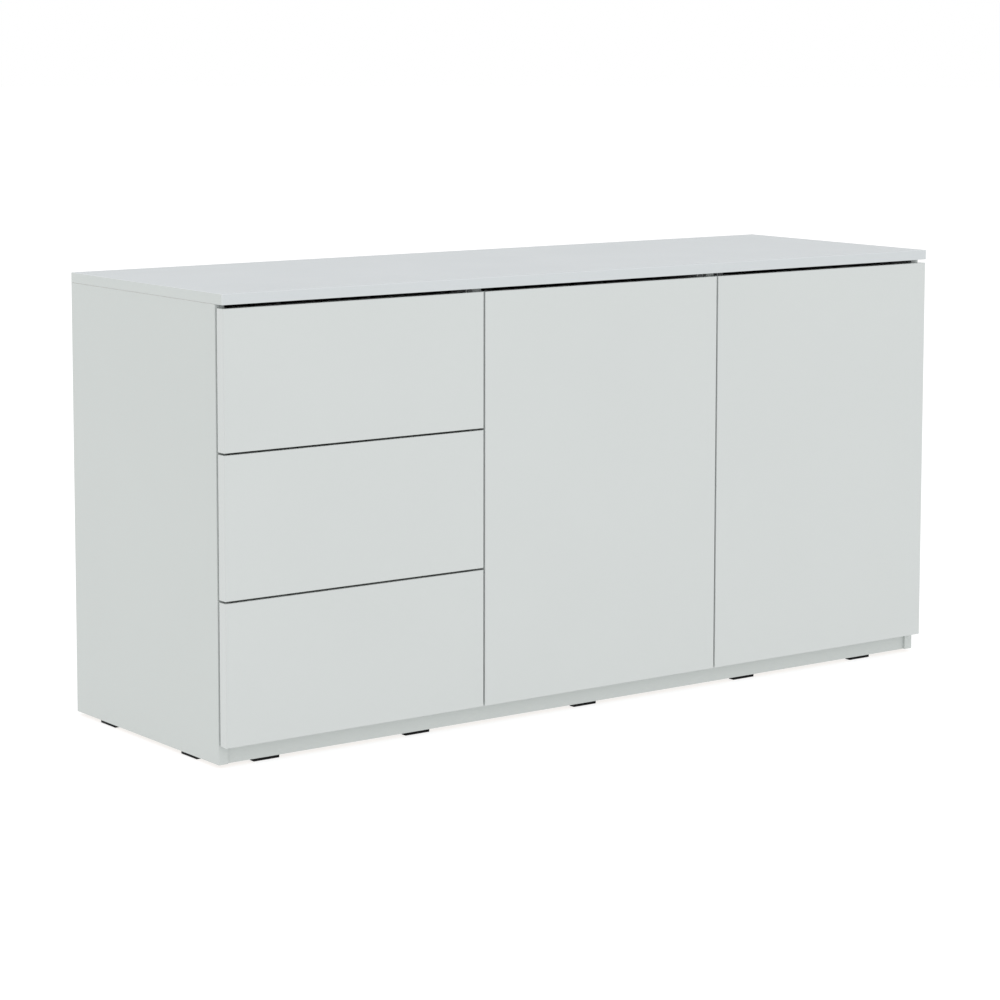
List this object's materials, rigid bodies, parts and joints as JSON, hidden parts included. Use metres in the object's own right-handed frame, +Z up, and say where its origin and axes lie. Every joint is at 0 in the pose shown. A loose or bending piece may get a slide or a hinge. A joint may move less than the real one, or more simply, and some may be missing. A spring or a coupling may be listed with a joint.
{
  "type": "sideboard",
  "caption": "Low handleless sideboard with a stack of drawers beside two cupboard doors on a recessed plinth.",
  "frame": {"origin": "on the floor, midway between the side panels and midway between front and rear", "axes": "+Z up, +X to the right seen from the front, +Y from the fronts towards the back"},
  "size_m": [1.4, 0.45, 0.7],
  "materials": {
    "gloss_fronts": "high-gloss white laminate on board",
    "melamine_board": "satin white melamine-faced chipboard",
    "hardboard": "thin white-lacquered hardboard",
    "drawer_board": "white foil-wrapped board",
    "drawer_bottom": "white-lacquered hardboard",
    "zinc_steel": "zinc-plated steel",
    "nickel_steel": "nickel-plated pressed steel",
    "cam_alloy": "die-cast zinc alloy",
    "beech": "plain beech",
    "black_plastic": "black polyethylene",
    "grey_plastic": "grey acetal",
    "white_plastic": "light grey moulded plastic"
  },
  "bodies": {
    "carcass": {"back_left": "hardboard", "back_middle": "hardboard", "back_right": "hardboard", "bottom_panel": "melamine_board", "cam_bolts": "zinc_steel", "cam_locks": "cam_alloy", "dowels": "beech", "floor_glides": "black_plastic", "hinge_arms": "nickel_steel", "hinge_plates": "nickel_steel", "latch_housings": "white_plastic", "nails": "zinc_steel", "partition_left": "melamine_board", "partition_right": "melamine_board", "plinth_front": "melamine_board", "plinth_rear": "melamine_board", "screws": "zinc_steel", "shelf_middle": "melamine_board", "shelf_pins": "zinc_steel", "shelf_right": "melamine_board", "side_left": "melamine_board", "side_right": "melamine_board", "slide_outer_members": "zinc_steel", "top_edge_bands": "melamine_board", "top_panel": "melamine_board"},
    "drawer_bottom": {"drawer_bottom_front": "gloss_fronts", "drawer_bottom_side_left": "drawer_board", "drawer_bottom_side_right": "drawer_board", "drawer_bottom_rear": "drawer_board", "drawer_bottom_bottom": "drawer_bottom", "drawer_bottom_slide_inners": "zinc_steel"},
    "drawer_bottom_slide_middles": {"drawer_bottom_slide_middles": "zinc_steel"},
    "drawer_bottom_plunger": {"drawer_bottom_plunger": "grey_plastic"},
    "drawer_middle": {"drawer_middle_front": "gloss_fronts", "drawer_middle_side_left": "drawer_board", "drawer_middle_side_right": "drawer_board", "drawer_middle_rear": "drawer_board", "drawer_middle_bottom": "drawer_bottom", "drawer_middle_slide_inners": "zinc_steel"},
    "drawer_middle_slide_middles": {"drawer_middle_slide_middles": "zinc_steel"},
    "drawer_middle_plunger": {"drawer_middle_plunger": "grey_plastic"},
    "drawer_top": {"drawer_top_front": "gloss_fronts", "drawer_top_side_left": "drawer_board", "drawer_top_side_right": "drawer_board", "drawer_top_rear": "drawer_board", "drawer_top_bottom": "drawer_bottom", "drawer_top_slide_inners": "zinc_steel"},
    "drawer_top_slide_middles": {"drawer_top_slide_middles": "zinc_steel"},
    "drawer_top_plunger": {"drawer_top_plunger": "grey_plastic"},
    "door_left": {"door_left_panel": "gloss_fronts", "door_left_hinge_cups": "nickel_steel", "door_left_cup_screws": "zinc_steel"},
    "door_left_hinge_links": {"door_left_hinge_links": "nickel_steel"},
    "door_left_plunger": {"door_left_plunger": "grey_plastic"},
    "door_right": {"door_right_panel": "gloss_fronts", "door_right_hinge_cups": "nickel_steel", "door_right_cup_screws": "zinc_steel"},
    "door_right_hinge_links": {"door_right_hinge_links": "nickel_steel"},
    "door_right_plunger": {"door_right_plunger": "grey_plastic"}
  },
  "joints": [
    {"name": "drawer_bottom_slide", "type": "slide", "parent": "carcass", "child": "drawer_bottom", "axis": [0, -1, 0], "range_m": [0, 0.35]},
    {"name": "drawer_bottom_slide_middles_slide", "type": "slide", "parent": "carcass", "child": "drawer_bottom_slide_middles", "axis": [0, -1, 0], "range_m": [0, 0.175]},
    {"name": "drawer_bottom_plunger_slide", "type": "slide", "parent": "carcass", "child": "drawer_bottom_plunger", "axis": [0, -1, 0], "range_m": [0, 0.021]},
    {"name": "drawer_middle_slide", "type": "slide", "parent": "carcass", "child": "drawer_middle", "axis": [0, -1, 0], "range_m": [0, 0.35]},
    {"name": "drawer_middle_slide_middles_slide", "type": "slide", "parent": "carcass", "child": "drawer_middle_slide_middles", "axis": [0, -1, 0], "range_m": [0, 0.175]},
    {"name": "drawer_middle_plunger_slide", "type": "slide", "parent": "carcass", "child": "drawer_middle_plunger", "axis": [0, -1, 0], "range_m": [0, 0.021]},
    {"name": "drawer_top_slide", "type": "slide", "parent": "carcass", "child": "drawer_top", "axis": [0, -1, 0], "range_m": [0, 0.35]},
    {"name": "drawer_top_slide_middles_slide", "type": "slide", "parent": "carcass", "child": "drawer_top_slide_middles", "axis": [0, -1, 0], "range_m": [0, 0.175]},
    {"name": "drawer_top_plunger_slide", "type": "slide", "parent": "carcass", "child": "drawer_top_plunger", "axis": [0, -1, 0], "range_m": [0, 0.021]},
    {"name": "door_left_hinge", "type": "hinge", "parent": "carcass", "child": "door_left", "pos_m": [-0.22583, -0.2194, 0.355], "axis": [0, 0, -1], "range_deg": [0, 90]},
    {"name": "door_left_link_hinge", "type": "hinge", "parent": "carcass", "child": "door_left_hinge_links", "pos_m": [-0.19583, -0.2015, 0.355], "axis": [0, 0, -1], "range_deg": [-10.5, 0]},
    {"name": "door_left_plunger_slide", "type": "slide", "parent": "carcass", "child": "door_left_plunger", "axis": [0, -1, 0], "range_m": [0, 0.021]},
    {"name": "door_right_hinge", "type": "hinge", "parent": "carcass", "child": "door_right", "pos_m": [0.6925, -0.2194, 0.355], "axis": [0, 0, 1], "range_deg": [0, 90]},
    {"name": "door_right_link_hinge", "type": "hinge", "parent": "carcass", "child": "door_right_hinge_links", "pos_m": [0.6625, -0.2015, 0.355], "axis": [0, 0, 1], "range_deg": [-10.5, 0]},
    {"name": "door_right_plunger_slide", "type": "slide", "parent": "carcass", "child": "door_right_plunger", "axis": [0, -1, 0], "range_m": [0, 0.021]}
  ],
  "couplings": [
    {"joint": "drawer_bottom_slide_middles_slide", "follows": "drawer_bottom_slide", "ratio": 0.5},
    {"joint": "drawer_bottom_plunger_slide", "follows": "drawer_bottom_slide", "ratio": 0.06},
    {"joint": "drawer_middle_slide_middles_slide", "follows": "drawer_middle_slide", "ratio": 0.5},
    {"joint": "drawer_middle_plunger_slide", "follows": "drawer_middle_slide", "ratio": 0.06},
    {"joint": "drawer_top_slide_middles_slide", "follows": "drawer_top_slide", "ratio": 0.5},
    {"joint": "drawer_top_plunger_slide", "follows": "drawer_top_slide", "ratio": 0.06},
    {"joint": "door_left_link_hinge", "follows": "door_left_hinge", "ratio": -0.1155},
    {"joint": "door_left_plunger_slide", "follows": "door_left_hinge", "m_per_rad": 0.0125},
    {"joint": "door_right_link_hinge", "follows": "door_right_hinge", "ratio": -0.1155},
    {"joint": "door_right_plunger_slide", "follows": "door_right_hinge", "m_per_rad": 0.0125}
  ]
}
